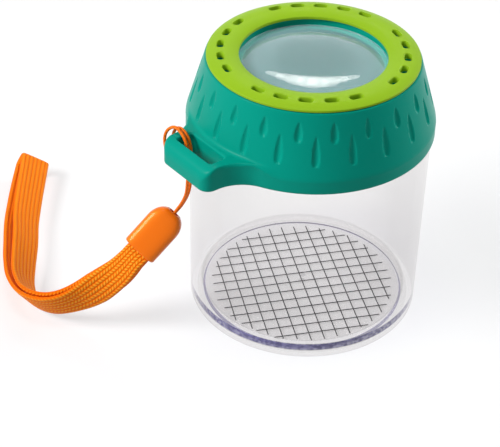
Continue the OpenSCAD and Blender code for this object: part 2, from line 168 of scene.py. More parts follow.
def millimetres(sizes):
    """The values of a group of sizes as plain numbers of millimetres"""
    found = {}
    for key, value in sizes.bl_rna.properties.items():
        if value.type == "FLOAT":
            found[key] = round(getattr(sizes, key) / MM, 5)
        elif value.type == "INT":
            found[key] = getattr(sizes, key)
    return SimpleNamespace(**found)


# Node materials

def worked(operation):
    """A method of a signal that adds the Math node of an operation"""
    return lambda self, *others: self.finish.maths(operation, self, *others)


class Signal:
    """One output of a shader node, which takes part in sums as a number does"""

    def __init__(self, finish, socket):
        self.finish = finish
        self.socket = socket

    __add__ = __radd__ = worked("ADD")
    __mul__ = __rmul__ = worked("MULTIPLY")
    __sub__ = worked("SUBTRACT")
    __truediv__ = worked("DIVIDE")
    __pow__ = worked("POWER")
    __mod__ = worked("FLOORED_MODULO")
    __abs__ = worked("ABSOLUTE")
    __floor__ = worked("FLOOR")
    sine = worked("SINE")

    def __rsub__(self, other):
        return self.finish.maths("SUBTRACT", other, self)


class Finish:
    """The nodes of a material, or of the world, in the making"""

    def __init__(self, name, world=False):
        self.owner = (bpy.data.worlds if world else bpy.data.materials).new(name)
        self.owner.use_nodes = True
        self.tree = self.owner.node_tree
        self.tree.nodes.clear()
        self.output = "ShaderNodeOutputWorld" if world else "ShaderNodeOutputMaterial"

    def node(self, kind, settings=None, inputs=None):
        """A new node: its settings are set first, and then its sockets' values or links. A colour
        is given as red, green and blue"""
        made = self.tree.nodes.new(kind)
        for key, value in (settings or {}).items():
            setattr(made, key, value)
        for key, value in (inputs or {}).items():
            socket = made.inputs[key]
            if isinstance(value, Signal):
                self.tree.links.new(value.socket, socket)
            else:
                socket.default_value = (*value, 1) if socket.type == "RGBA" else value
        return made

    def out(self, made, key=0):
        return Signal(self, made.outputs[key])

    def maths(self, operation, *terms):
        return self.out(self.node("ShaderNodeMath", {"operation": operation},
                                  dict(enumerate(terms))))

    def largest(self, first, *others):
        for other in others:
            first = self.maths("MAXIMUM", first, other)
        return first

    def limit(self, signal, low, high):
        """A signal's share of the way from low to high, kept between 0 and 1"""
        return self.out(self.node("ShaderNodeMapRange", {"clamp": True},
                                  {0: signal, 1: low, 2: high}))

    def step(self, signal, edge, blur):
        """A soft step up where a signal passes an edge, or down where the blur is negative"""
        return self.limit(signal, edge - blur, edge + blur)

    def mix(self, share, first, second):
        """A mix of two colours"""
        return self.out(self.node("ShaderNodeMix", {"data_type": "RGBA"},
                                  {0: share, 6: first, 7: second}), 2)

    def place(self, kind="Object"):
        return self.out(self.node("ShaderNodeTexCoord"), kind)

    def parts(self, vector):
        """The X, Y and Z parts of a vector"""
        made = self.node("ShaderNodeSeparateXYZ", {}, {0: vector})
        return [self.out(made, key) for key in "XYZ"]

    def polar(self):
        """Distance from the Z axis, and height, in millimetres"""
        east, north, height = self.parts(self.place())
        return (east * east + north * north) ** 0.5 / MM, height / MM

    def noise(self, scale, detail=2.0, roughness=0.5):
        """Noise from 0 to 1, with its scale in features to the metre"""
        return self.out(self.node("ShaderNodeTexNoise", {}, {
            "Vector": self.place(), "Scale": scale, "Detail": detail, "Roughness": roughness}))

    def bump(self, height, distance):
        return self.out(self.node("ShaderNodeBump", {}, {
            "Height": height, "Distance": distance, "Strength": 1.0}))

    def shader(self, kind, **inputs):
        """A shader, with underscores in the words for the spaces in its sockets' names"""
        return self.out(self.node("ShaderNode" + kind, {}, {
            key.replace("_", " "): value for key, value in inputs.items()}))

    def principled(self, **inputs):
        return self.shader("BsdfPrincipled", **inputs)

    def blend(self, share, first, second):
        """A mix of two shaders"""
        return self.out(self.node("ShaderNodeMixShader", {}, {0: share, 1: first, 2: second}))

    def see_through(self, tint):
        return self.shader("BsdfTransparent", Color=tint)

    def ray(self, kind):
        return self.out(self.node("ShaderNodeLightPath"), kind)

    def seen(self):
        """1 for rays that show the background as it is: from the camera, by gloss or through glass"""
        return self.largest(self.ray("Is Camera Ray"), self.ray("Is Glossy Ray"),
                            self.ray("Is Transmission Ray"))

    def finished(self, shader):
        self.node(self.output, {}, {"Surface": shader})
        return self.owner


def shade(tint, factor):
    return tuple(min(1, part * factor) for part in tint)


def moulded_finish(name, tint, roughness, gloss, grain=0.000012, coat=0.0, glint=(1, 1, 1)):
    """Moulded plastic: faint clouds in its colour, fine grain, and handling marks in its gloss"""
    finish = Finish(name)
    clouds = finish.noise(55, 3)
    fine = finish.noise(1500, 2, 0.6)
    marks = finish.limit(finish.noise(260, 4, 0.7), 0.52, 0.72)
    dull = roughness - 0.03 + 0.05 * clouds + 0.09 * marks
    tone = finish.mix(clouds, shade(tint, 0.94), shade(tint, 1.06))
    return finish.finished(finish.principled(
        Base_Color=tone, Roughness=dull, Specular_IOR_Level=gloss, Coat_Weight=coat,
        Specular_Tint=glint, Coat_Roughness=0.04, Coat_IOR=1.3,
        Normal=finish.bump(fine, grain)))


def lens_finish(name, tint, haze, s):
    """Polished clear plastic that bends what is seen through it and lets the lamps pass. A teal-grey
    film over it is partly haze and partly a painted view of the teal lid behind it and of grey
    reflections; it thickens towards the rim, and its flat underside bends light without a
    reflection of its own"""
    finish = Finish(name)
    radius, height = finish.polar()
    thin, thick, from_r, to_r = 0.15, 0.26, 9, 18
    tone = finish.mix(finish.noise(70, 1), shade(tint, 0.985), tint)
    dome = finish.principled(Base_Color=tone, Roughness=0.0, Transmission_Weight=1.0, IOR=LENS_IOR)
    under = finish.shader("BsdfRefraction", Color=tone, Roughness=0.0, IOR=LENS_IOR)
    clear = finish.blend(finish.step(height, s.lens_z + 0.2, -0.1), dome, under)
    # Painted reflection: the teal-grey film, partly haze, stands for the lid seen through the lens
    # and grey reflections; it thickens towards the rim
    film = finish.principled(Base_Color=haze, Roughness=0.1)
    haze_and_painted_reflection = thin + (thick - thin) * finish.limit(radius, from_r, to_r)
    return finish.finished(finish.blend(
        finish.ray("Is Shadow Ray"), finish.blend(haze_and_painted_reflection, clear, film),
        finish.see_through(shade(tint, 0.98))))


def jar_finish(name, tints, s):
    """Clear moulded plastic. Its outer face and its floor carry a thin haze, stronger at grazing
    angles, its inner wall is bare, and the rim and the foot ring of its thick base show violet:
    the base's tint, painted dark as shade for the light that the thick base bends away"""
    haze, edge = tints.haze, tints.rim
    finish = Finish(name)
    radius, height = finish.polar()
    facing = finish.out(finish.node("ShaderNodeLayerWeight", {}, {"Blend": 0.5}), "Facing")
    inward = finish.out(finish.node("ShaderNodeNewGeometry"), "Backfacing")
    clouds = finish.noise(40, 2)
    streaks = finish.limit(finish.noise(900, 2, 0.6), 0.42, 0.58)
    outside = finish.step(radius, s.neck_r + 0.1, 0.2)
    low = finish.limit(height, 50, 0)
    floor = finish.step(height, s.floor_z + 0.4, -0.2) * (1 - outside)
    annulus = floor * (1 - finish.step(radius, s.foot_in_r + 0.1, -0.1))
    gate = finish.step(radius, s.gate_r, -0.2) * floor
    # Violet band round the base and line at the foot ring's edge: the base's tint, painted dark as
    # shade for light the thick base bends away, with darker streaks, fading towards the silhouette
    rim = (finish.step(height, s.rim_high, -0.2) * finish.step(height, s.rim_low, 0.3) * outside
           * (1 - inward) * (1 - facing ** 7))
    seam = (finish.step(abs(radius - s.foot_in_r), 0.3, -0.1)
            * finish.step(height, s.foot_h + 0.3, -0.1))
    grazing = finish.limit(facing, 0.12, 0.45)
    hazy = (0.03 + 0.006 * low ** 2 + 0.01 * clouds + 0.075 * grazing + 0.07 * annulus
            + 0.22 * gate)
    share = finish.largest(hazy, rim * (0.72 + 0.22 * streaks), seam * 0.6)
    # Painted shade: the haze darkens a little towards the bottom, and much more on the floor's ring
    # outside the foot ring
    plain = finish.mix(annulus, finish.mix(low, haze, shade(haze, 0.9)), shade(haze, 0.35))
    violet = finish.mix(streaks * rim * 0.6, edge, shade(edge, 0.35))
    film = finish.principled(Base_Color=finish.mix(rim + seam, plain, violet), Roughness=0.14)
    bare = finish.see_through((1, 1, 1))
    shell = finish.blend(finish.largest(outside, floor + seam), bare,
                         finish.blend(share, finish.see_through(tints.clear), film))
    dimmed = finish.blend(outside, bare, finish.see_through(tints.passed))
    return finish.finished(finish.blend(finish.ray("Is Shadow Ray"), shell, dimmed))


def ink_finish(name, tint):
    """Printed ink: thin, with paler breaks where the print didn't take"""
    finish = Finish(name)
    breaks = finish.limit(finish.noise(900, 3, 0.7), 0.58, 0.75)
    return finish.finished(finish.principled(
        Base_Color=finish.mix(breaks * 0.4, tint, shade(tint, 2.2)), Roughness=0.6))


def webbing_finish(name, tint, painted_crevice_shade, glint, reach):
    """Flat braid read from the UV map: x in ribs across, y in metres along. The stitches stand
    out near the cap, where the webbing is gathered, and lie flatter along its stretched part.
    Painted shade darkens the crevices between the ribs, and a painted highlight in the gloss
    colour lies on the crests of the stitches, stronger near the cap"""
    finish = Finish(name)
    stitch_l, slope = 0.00115, 1.3
    across, along, _ = finish.parts(finish.place("UV"))
    across = across * RIBS
    rib = math.floor(across) % 2
    inside = across % 1
    slant = (inside - 0.5) * (rib - 0.5) * slope
    stitch = abs(((along / stitch_l + slant + rib * 0.5) * math.pi).sine())
    from_cap = reach / 2 - abs(along - reach / 2)
    gathered = finish.limit(from_cap, reach * 0.26, reach * 0.12)
    round_rib = (inside * math.pi).sine() ** 0.6
    beads = 0.3 + 0.52 * gathered
    height = round_rib * (1 - beads + beads * stitch ** 0.8)
    fibres = finish.noise(5200, 2, 0.7)
    clouds = finish.noise(180, 2)
    # Painted shade: the low places between the ribs and stitches take the crevice colour
    tops = finish.limit(height + fibres * 0.2, 0.0, 0.85)
    # Painted highlight: the crests of the stitches take the gloss colour, more of it near the cap
    painted_crest_highlight = finish.limit(height, 0.5, 0.95) * (0.12 + 0.36 * gathered)
    yarn_with_painted_highlight = finish.mix(painted_crest_highlight, finish.mix(clouds, shade(tint, 0.95), shade(tint, 1.06)), glint)
    return finish.finished(finish.principled(
        Base_Color=finish.mix(tops, painted_crevice_shade, yarn_with_painted_highlight), Roughness=0.6, Specular_IOR_Level=0.3,
        Sheen_Weight=0.01, Specular_Tint=glint, Sheen_Roughness=0.4,
        Normal=finish.bump(height + fibres * 0.12, 0.00018)))


def cord_finish(name, tint, painted_crevice_shade):
    """Round braid read from the UV map: x round the cord, y in metres along. Painted shade
    darkens the crevices between its strands
    """
    finish = Finish(name)
    strands, strand_l = 3, 0.0016
    turn, along, _ = finish.parts(finish.place("UV"))
    turn = turn * strands
    along = along / strand_l
    height = abs(((turn + along) * math.pi).sine() * ((turn - along) * math.pi).sine())
    # Painted shade in the crevices between the strands
    tone = finish.mix(finish.limit(height, -0.1, 0.4), painted_crevice_shade, tint)
    return finish.finished(finish.principled(
        Base_Color=tone, Roughness=0.6, Specular_IOR_Level=0.2, Sheen_Weight=0.05,
        Normal=finish.bump(height, 0.00006)))


def floor_finish(name, tint):
    """Matt floor that is half white glow to the rays that see it, and all glow further out, so
    that it has no horizon. To other rays it is matt and darker"""
    finish = Finish(name)
    near, far, near_glow, dimming = 200, 600, 0.5, 0.6
    matt = finish.shader("BsdfDiffuse", Color=tint)
    dim = finish.shader("BsdfDiffuse", Color=shade(tint, dimming))
    glow = finish.shader("Emission", Color=(1, 1, 1), Strength=1.0)
    bright = finish.largest(finish.limit(finish.polar()[0], near, far), near_glow)
    return finish.finished(finish.blend(finish.seen(), dim, finish.blend(bright, matt, glow)))


# Modelling helpers

def begin(add, name, **settings):
    """A new primitive, alone in the selection and in edit mode"""
    bpy.ops.object.select_all(action="DESELECT")
    add(**settings)
    piece = bpy.context.object
    piece.name = name
    piece.data.name = name
    bpy.ops.object.mode_set(mode="EDIT")
    bpy.ops.mesh.select_mode(type="VERT")
    bpy.ops.mesh.select_all(action="SELECT")
    return piece


def end():
    bpy.ops.object.mode_set(mode="OBJECT")
    return bpy.context.object


def activate(*pieces):
    bpy.ops.object.select_all(action="DESELECT")
    for piece in pieces:
        piece.select_set(True)
    bpy.context.view_layer.objects.active = pieces[0]


def edit(piece):
    activate(piece)
    bpy.ops.object.mode_set(mode="EDIT")


def pick(kind, test):
    """Selects the vertices or faces of the edited mesh that pass the test, and no others"""
    bpy.ops.mesh.select_mode(type=kind)
    bpy.ops.mesh.select_all(action="DESELECT")
    mesh = bmesh.from_edit_mesh(bpy.context.object.data)
    for part in mesh.verts if kind == "VERT" else mesh.faces:
        where = part.co if kind == "VERT" else part.calc_center_median()
        if test(where):
            part.select_set(True)
    mesh.select_flush_mode()
    bmesh.update_edit_mesh(bpy.context.object.data)


def push(x, y, z):
    bpy.ops.transform.translate(value=(x * MM, y * MM, z * MM))


def extrude(x=0.0, z=0.0):
    bpy.ops.mesh.extrude_region_move(TRANSFORM_OT_translate={"value": (x * MM, 0, z * MM)})


def draw_out(steps, centre=(0, 0, 0)):
    """Extrudes what is picked in steps of (rise, growth along X, growth along Y)"""
    for rise, wide, long in steps:
        extrude(z=rise)
        bpy.ops.transform.resize(value=(wide, long, 1), center_override=centre)


def close_up():
    """Merges doubles and turns every face outwards"""
    bpy.ops.mesh.select_all(action="SELECT")
    bpy.ops.mesh.remove_doubles(threshold=0.000002)
    bpy.ops.mesh.normals_make_consistent(inside=False)


def cut(piece, cutter, operation="DIFFERENCE"):
    """Cuts a piece with another, or joins them, and removes the other"""
    activate(piece)
    modifier = piece.modifiers.new("cut", "BOOLEAN")
    modifier.operation = operation
    modifier.solver = "MANIFOLD"
    modifier.object = cutter
    bpy.ops.object.modifier_apply(modifier=modifier.name)
    bpy.data.objects.remove(cutter)


def copies(piece, turns):
    """Copies of a piece, turned about Z by the given degrees and joined into one object"""
    made = []
    for turn in turns:
        twin = piece.copy()
        twin.data = piece.data.copy()
        twin.data.transform(Matrix.Rotation(math.radians(turn), 4, "Z"))
        bpy.context.scene.collection.objects.link(twin)
        made.append(twin)
    bpy.data.objects.remove(piece)
    activate(*made)
    bpy.ops.object.join()
    return bpy.context.object


def dress(piece, degrees, body, slot, node, finish, *tints, **looks):
    """Smooths the edges of a piece that are flatter than the given angle, and gives it its body and
    its finish, in a material named after its slot, and hides the imported part that it stands for"""
    activate(piece)
    bpy.ops.object.shade_smooth_by_angle(angle=math.radians(degrees))
    piece.data.materials.clear()
    piece.data.materials.append(finish(slot, *tints, **looks))
    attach(piece, body)
    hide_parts(node)


def rounded(corners, steps):
    """An outline of (radius, height) points with its corners rounded: each corner is
    (radius, height, rounding)"""
    outline = []
    last = len(corners) - 1
    for i, corner in enumerate(corners):
        here = Vector(corner[:2])
        size = corner[2] if len(corner) > 2 else 0
        if not size or i in (0, last):
            outline.append(tuple(here))
            continue
        before = (Vector(corners[i - 1][:2]) - here).normalized()
        after = (Vector(corners[i + 1][:2]) - here).normalized()
        half = before.angle(after) / 2
        back = size / math.tan(half)
        centre = here + (before + after).normalized() * size / math.sin(half)
        start = here + before * back - centre
        stop = here + after * back - centre
        turn = start.angle_signed(stop)
        for k in range(steps + 1):
            spoke = start.copy()
            spoke.rotate(Matrix.Rotation(-turn * k / steps, 2))
            outline.append(tuple(centre + spoke))
    return outline


def arch(half, rise, off):
    """Height of an arc over its chord, at a distance from the chord's middle"""
    curve = (half ** 2 + rise ** 2) / (2 * rise)
    return rise - curve + math.sqrt(curve ** 2 - off ** 2)


def ease(share):
    """A share kept between 0 and 1, with a soft start and a soft end"""
    share = min(1, max(0, share))
    return share * share * (3 - 2 * share)


def draw(name, outline):
    """A new piece: a line of edges through an outline, in edit mode and all selected"""
    piece = begin(bpy.ops.mesh.primitive_plane_add, name, size=MM)
    bpy.ops.mesh.merge(type="CENTER")
    push(outline[0][0], 0, outline[0][1])
    for here, there in zip(outline, outline[1:]):
        extrude(x=there[0] - here[0], z=there[1] - here[1])
    bpy.ops.mesh.select_all(action="SELECT")
    return piece


def spin(steps, angle):
    bpy.ops.mesh.spin(steps=steps, angle=angle, center=(0, 0, 0), axis=(0, 0, 1))


def turned(name, outline, steps, sectors=16):
    """A piece turned about Z from its half outline, which starts and ends on the axis or closes:
    one sector is spun, and its copies are merged into the whole"""
    draw(name, outline)
    spin(steps // sectors, 2 * math.pi / sectors)
    piece = copies(end(), [360 * i / sectors for i in range(sectors)])
    piece.name = name
    piece.data.name = name
    edit(piece)
    close_up()
    return end()


def thread_ridges(name, root_r, crest_r, low_z, start, arc):
    """The four ridges of a quick thread: a section is spun through its arc in degrees, raised
    along the lead, and run out at both ends"""
    crest_h, run_out, end_share = 0.7, 7, 0.3
    root_h = crest_h + abs(crest_r - root_r)
    piece = draw(name, ((root_r, -root_h / 2), (root_r, root_h / 2), (crest_r, crest_h / 2),
                        (crest_r, -crest_h / 2)))
    bpy.ops.mesh.edge_face_add()
    spin(36, math.radians(arc))
    close_up()
    end()
    for vertex in piece.data.vertices:
        x, y, z = vertex.co / MM
        turn = abs(math.degrees(math.atan2(y, x)))
        run = max(0, min(1, turn / run_out, (arc - turn) / run_out))
        depth = (math.hypot(x, y) - root_r) * (end_share
                                               + (1 - end_share) * math.sin(math.pi / 2 * run))
        angle = math.radians(start + turn)
        vertex.co = Vector(((root_r + depth) * math.cos(angle), (root_r + depth) * math.sin(angle),
                            low_z + THREAD_LEAD * (start + turn) / 360 + z)) * MM
    edit(piece)
    close_up()
    return copies(end(), (0, 90, 180, 270))


# The jar

def make_jar(s):
    """The jar is turned in one piece, and its thread ridges are sunk a little into the neck"""
    sunk, slope = 0.3, 1.1
    outline = rounded([
        (0, s.foot_h), (s.foot_in_r, s.foot_h, 0.3), (s.foot_in_r, 0, 0.3), (s.foot_r, 0, 0.6),
        (s.top_r, s.shoulder_z, 0.8), (s.neck_r, s.shoulder_z, 0.35), (s.neck_r, s.neck_z, 0.5),
        (s.mouth_r, s.neck_z, 0.4), (s.mouth_r, s.shoulder_z + slope, 1.5),
        (s.bore_r, s.shoulder_z - slope, 1.5), (s.bore_r, s.floor_z, 1.5), (0, s.floor_z)], 6)
    jar = turned("jar_clear", outline, 256)
    cut(jar, thread_ridges("jar_ridge", s.neck_r - sunk, s.neck_r + s.ridge_d, s.ridge_z,
                           start=0, arc=50), "UNION")
    return jar


# The lid

def cone_radius(s, z):
    crease_r = s.skirt_r - s.draft
    return crease_r - (crease_r - s.top_r) * (z - s.crease_z) / (s.top_z - s.crease_z)


def plan_radius(s, turn):
    """Radius of the lid's outline seen from above, where turn is the angle from the handle"""
    hollow_y = s.half_w + s.hollow_r
    hollow_x = math.sqrt((s.skirt_r + s.hollow_r) ** 2 - hollow_y ** 2)
    if turn >= math.atan2(hollow_y, hollow_x):
        return s.skirt_r
    ray = Vector((math.cos(turn), math.sin(turn)))

    def arc(x, y, radius, side):
        """Distance to a circle's far side (1) or near side (-1) along the ray"""
        middle = ray.dot(Vector((x, y)))
        return middle + side * math.sqrt(max(0, middle ** 2 - x * x - y * y + radius ** 2))

    flat = s.reach / ray.x
    if flat * ray.y <= s.half_w - s.corner_r:
        return flat
    corner = arc(s.reach - s.corner_r, s.half_w - s.corner_r, s.corner_r, 1)
    if corner * ray.x >= s.reach - s.corner_r:
        return corner
    side = s.half_w / ray.y
    if side * ray.x >= hollow_x:
        return side
    return max(s.skirt_r, arc(hollow_x, hollow_y, s.hollow_r, -1))


def brow_height(s, x):
    """Height of the handle's upper face, which drops to its outer face in a quarter circle"""
    past = x - (s.reach - s.brow_r)
    if past <= 0:
        return s.ledge_z
    return s.ledge_z - s.brow_r + math.sqrt(max(0, s.brow_r ** 2 - past ** 2))


def bend(first, corner, last, share):
    """A point of the curve that leaves first towards corner and ends at last"""
    return [a * (1 - share) ** 2 + 2 * b * share * (1 - share) + c * share ** 2
            for a, b, c in zip(first, corner, last)]


# Rows of the lid's outline, from the skirt's inner edge outwards and up to the cone: each is
# (part of the outline, share of the way along it)
LID_ROWS = [("sole", 0)] + [
    (part, (k + 1) / count) for part, count in
    (("sole", 5), ("heel", 3), ("wall", 4), ("edge", 6), ("ledge", 10), ("fillet", 5))
    for k in range(count)]


def row_point(s, part, share, turn):
    """Where a row of the lid lies in the direction that is turn away from the handle. The
    handle's rows pass softly into those of the plain skirt and cone"""
    heel, sink, bevel, swell_share, crowding = 0.5, 0.05, 0.9, 0.6, 1.4
    edge_share, fillet_share = 0.45, 0.4
    handle_end, plain_start = math.radians(22), math.radians(37)
    wall_top, cone_low = s.crease_z - bevel, s.crease_z + bevel
    fillet_low, fillet_top = s.ledge_z - 0.5, s.ledge_z + 1
    reach = plan_radius(s, turn)
    a = math.pi / 2 * share
    if part == "sole":
        return s.inner_r + (reach - heel - s.inner_r) * share, s.skirt_z
    if part == "heel":
        return reach - heel + heel * math.sin(a), s.skirt_z + heel - heel * math.cos(a)
    blend = ease((plain_start - turn) / (plain_start - handle_end))
    seam_r = cone_radius(s, s.ledge_z)
    depth = reach - seam_r
    swell = (reach - s.skirt_r) * swell_share
    edge = min(s.edge_r, depth * edge_share)
    fillet = min(1, depth * fillet_share)
    across = math.cos(turn)
    if part == "wall":
        top = wall_top + (brow_height(s, reach * across) - edge - wall_top) * blend
        low = s.skirt_z + heel
        return reach - sink * share, low + (top - low) * share
    if part == "edge":
        r = reach - edge * (1 - math.cos(a))
        handle = (r, brow_height(s, r * across) - edge * (1 - math.sin(a)))
        plain = bend((reach, wall_top), (reach - sink, s.crease_z),
                     (cone_radius(s, cone_low) + swell, cone_low), share)
    elif part == "ledge":
        r = reach - edge - (depth - fillet - edge) * share ** crowding
        handle = (r, brow_height(s, r * across))
        z = cone_low + (fillet_low - cone_low) * share
        plain = (cone_radius(s, z) + swell * (1 - share), z)
    else:
        z = fillet_low + (fillet_top - fillet_low) * share
        handle = bend((seam_r + fillet, s.ledge_z), (seam_r, s.ledge_z),
                      (cone_radius(s, fillet_top), fillet_top), share)
        plain = (cone_radius(s, z), z)
    return [b + (h - b) * blend for h, b in zip(handle, plain)]


def dimple_depth(s, turn, z):
    """Depth of the grip dimples at an angle in degrees and a height. Each is a drop with a round
    foot and a pointed head, and the lower row stands in the gaps of the upper one"""
    foot_share, blunt, least = 0.3, 0.8, 0.05
    lean = math.atan2(s.skirt_r - s.draft - s.top_r, s.top_z - s.crease_z)
    pitch = 360 / s.dimple_count
    widest = s.dimple_w / 2
    for long_l, middle_z, shift in ((5.8, 76, 0), (9, 71, pitch / 2)):
        off = (turn - shift + pitch / 2) % pitch - pitch / 2
        side = math.radians(off) * cone_radius(s, z)
        up = (z - middle_z) / math.cos(lean) + long_l / 2
        foot = long_l * foot_share
        if up < 0 or up > long_l:
            continue
        if up < foot:
            half = widest * math.sqrt(1 - (1 - up / foot) ** 2)
        else:
            half = widest * math.cos(math.pi / 2 * (up - foot) / (long_l - foot)) ** blunt
        if half > least and abs(side) < half:
            return s.dimple_d * (half / widest) ** blunt * (1 - (side / half) ** 2)
    return 0


def make_lid(s, ring):
    """The lid is turned as if it had no handle. The rows of its outline are then moved out to the
    handle, its dimples are pressed in, and its slots are cut"""
    near, handle_turn, cone_rows = 0.02, math.radians(38), 44
    well_r = ring.lens_r + 0.3
    hole_r = ring.lens_r - 1.5
    collar_r = well_r + 1.5
    shelf_z = ring.lens_z - 1.1
    flange_z = s.top_z - 1.4
    stop_r, stop_z, stop_top = 31, 67, 68.45
    skirt_top = 64.46

    def bore(z):
        return cone_radius(s, z) - s.wall

    outer = [tuple(row_point(s, part, share, math.pi)) for part, share in LID_ROWS]
    cone_z = outer[-1][1]
    cone = [(cone_radius(s, z), z) for z in
            (cone_z + (s.top_z - 0.5 - cone_z) * (k + 1) / cone_rows for k in range(cone_rows))]
    inner = rounded([
        cone[-1], (s.top_r, s.top_z, 0.3), (well_r, s.top_z, 0.25), (well_r, ring.lens_z, 0.2),
        (hole_r, ring.lens_z, 0.25), (hole_r, shelf_z, 0.25), (collar_r, shelf_z, 0.25),
        (collar_r, flange_z, 0.4), (bore(flange_z), flange_z, 0.5),
        (bore(stop_top), stop_top, 0.4), (stop_r, stop_top, 0.2), (stop_r, stop_z, 0.2),
        (bore(stop_z), stop_z, 0.3), (s.inner_r, skirt_top, 0.5), outer[0]], 2)
    lid = turned("lid_teal", outer + cone + inner[1:], 720)
    for vertex in lid.data.vertices:
        x, y, z = vertex.co / MM
        radius = math.hypot(x, y)
        turn = abs(math.atan2(y, -x))
        row = None
        if turn < handle_turn:
            row = next((row for (r, level), row in zip(outer, LID_ROWS)
                        if abs(r - radius) < near and abs(level - z) < near), None)
        if row:
            reach, level = row_point(s, *row, turn)
            vertex.co = Vector((x / radius * reach, y / radius * reach, level)) * MM
        elif cone_z < z < s.top_z - 0.4 and abs(radius - cone_radius(s, z)) < near:
            depth = dimple_depth(s, math.degrees(math.atan2(y, x)), z)
            vertex.co -= Vector((x / radius, y / radius, 0.3)).normalized() * depth * MM
    cut(lid, handle_slot(s))
    cut(lid, air_slots(ring, flange_z - 1, s.top_z + 1))
    activate(lid, thread_ridges("lid_ridge", s.inner_r + 0.25, crest_r=32.9, low_z=60.5,
                                start=5, arc=40))
    bpy.ops.object.join()
    return lid


def handle_slot(s):
    """Cutter of the strap slot: a box with round corners whose upper rim flares"""
    wide, long, corner_r, wall, half, flare_h = 5, 15, 1, 3.8, 0.5, 0.7
    middle = -(s.reach - wall - wide / 2)
    slot = begin(bpy.ops.mesh.primitive_cube_add, "handle_slot", size=2 * half * MM)
    bpy.ops.transform.resize(value=(wide, long, 1))
    bpy.ops.mesh.select_mode(type="EDGE")
    bpy.ops.mesh.select_all(action="DESELECT")
    mesh = bmesh.from_edit_mesh(slot.data)
    for edge in mesh.edges:
        first, second = (v.co for v in edge.verts)
        edge.select_set(abs(first.z - second.z) > half * MM)
    bmesh.update_edit_mesh(slot.data)
    bpy.ops.mesh.bevel(offset=corner_r * MM, segments=5)
    pick("VERT", lambda co: co.z < 0)
    push(middle, 0, s.skirt_z - 1 + half)
    pick("VERT", lambda co: co.z > 0 and co.x > -2 * wide * MM)
    push(middle, 0, s.ledge_z - flare_h - half)
    pick("FACE", lambda co: co.z > (s.ledge_z - flare_h - 0.1) * MM)
    draw_out(((0.3, 1.02, 1.008), (0.25, 1.06, 1.022), (0.15, 1.09, 1.03), (1.2, 1, 1)),
             (middle * MM, 0, 0))
    close_up()
    return end()


# The air ring and the lens

def air_slots(s, low, high, flare=()):
    """Cutters of all air slots: one round-ended slot, copied to its twenty places. Its flare is
    steps of (rise, growth) over its upper end"""
    begin(bpy.ops.mesh.primitive_circle_add, "air_slot", vertices=24,
          radius=s.slot_w / 2 * MM, fill_type="NGON")
    push(s.slot_r, 0, low)
    for side in (1, -1):
        pick("VERT", lambda co: co.y * side > 0.01 * MM)
        push(0, side * (s.slot_l - s.slot_w) / 2, 0)
    bpy.ops.mesh.select_mode(type="FACE")
    bpy.ops.mesh.select_all(action="SELECT")
    extrude(z=high - low)
    draw_out([(rise, wide, 1 + (wide - 1) / 2) for rise, wide in flare], (s.slot_r * MM, 0, 0))
    close_up()
    return copies(end(), [i * 15 for i in range(24) if i % 6])


def make_air_ring(s, seat_z):
    """A ring with a domed top, soft edges and a shallow step under its outer edge"""
    step, step_h, soft, points = 0.5, 0.25, 0.28, 30
    middle = (s.inner_r + s.outer_r) / 2
    half = (s.outer_r - s.inner_r) / 2
    edge_z = seat_z + s.edge_t
    crown = []
    for k in range(1, points):
        r = s.outer_r - 2 * half * k / points
        crown.append((r, edge_z + arch(half, s.crown_h, r - middle)))
    outer = rounded([(s.outer_r, seat_z + step_h), (s.outer_r, edge_z, soft), crown[2]], 5)
    inner = rounded([crown[-3], (s.inner_r, edge_z, soft), (s.inner_r, seat_z)], 5)
    ring = turned("air_ring_lime", [
        (s.inner_r, seat_z), (s.outer_r - step, seat_z), (s.outer_r - step, seat_z + step_h),
        *outer, *crown[3:-3], *inner], 320)
    cut(ring, air_slots(s, seat_z - 1, edge_z + s.crown_h - 0.3,
                        ((0.15, 1.06), (0.12, 1.12), (0.08, 1.12), (1, 1))))
    return ring


def make_lens(s):
    """A lens with a flat underside and a domed face inside its flat rim"""
    soft, points = 0.2, 25
    high = s.lens_z + s.lens_rim
    dome = []
    for k in range(points + 1):
        r = s.dome_r * k / points
        dome.append((r, high + arch(s.dome_r, s.dome_h, r)))
    under = [(s.dome_r * k / 6, s.lens_z) for k in range(7)]
    rim = rounded([under[-1], (s.lens_r, s.lens_z, soft), (s.lens_r, high, soft), dome[-1]], 3)
    return turned("lens_clear", under + rim[1:-1] + dome[::-1], 192)


# The strap, its cord and its cap

CORD_ROUTE = (
    (-41.7, 12.3, 35.6), (-39.5, 11.8, 37.6), (-37.8, 11.3, 39.4), (-37.2, 10.2, 41.8),
    (-37.5, 8.6, 44.4), (-37.9, 7, 47.5), (-38.2, 6, 50.6), (-38.4, 5.5, 54.6),
    (-38.5, 5.2, 59), (-38.5, 5.2, 63), (-38.6, 6.4, 66), (-38.8, 8.7, 67.4), (-39, 11, 66.6),
    (-39.2, 12.3, 64.2), (-39.2, 12.5, 61.4), (-38.8, 11.6, 58.9), (-37.8, 9.2, 57.3),
    (-36.8, 6.4, 57), (-37, 3.8, 57), (-39.1, 2.3, 57), (-41.2, 3.6, 57), (-41.5, 6.4, 57),
    (-41.3, 9.4, 57.3), (-41.3, 12.2, 58.6), (-41.2, 13.6, 61.2), (-41, 13.6, 64),
    (-40.6, 12.3, 66.4), (-40.2, 10, 67.9), (-39.9, 7.6, 67.2), (-39.9, 5.6, 65.4),
    (-39.9, 4.7, 62.6), (-39.9, 4.8, 59), (-39.8, 5, 54.6), (-39.6, 5.6, 50.6),
    (-39.3, 6.5, 47.5), (-39, 8, 44.4), (-38.8, 9.7, 41.6), (-39, 10.6, 40),
    (-40.4, 10.9, 38.4), (-42.6, 11.4, 36.4))

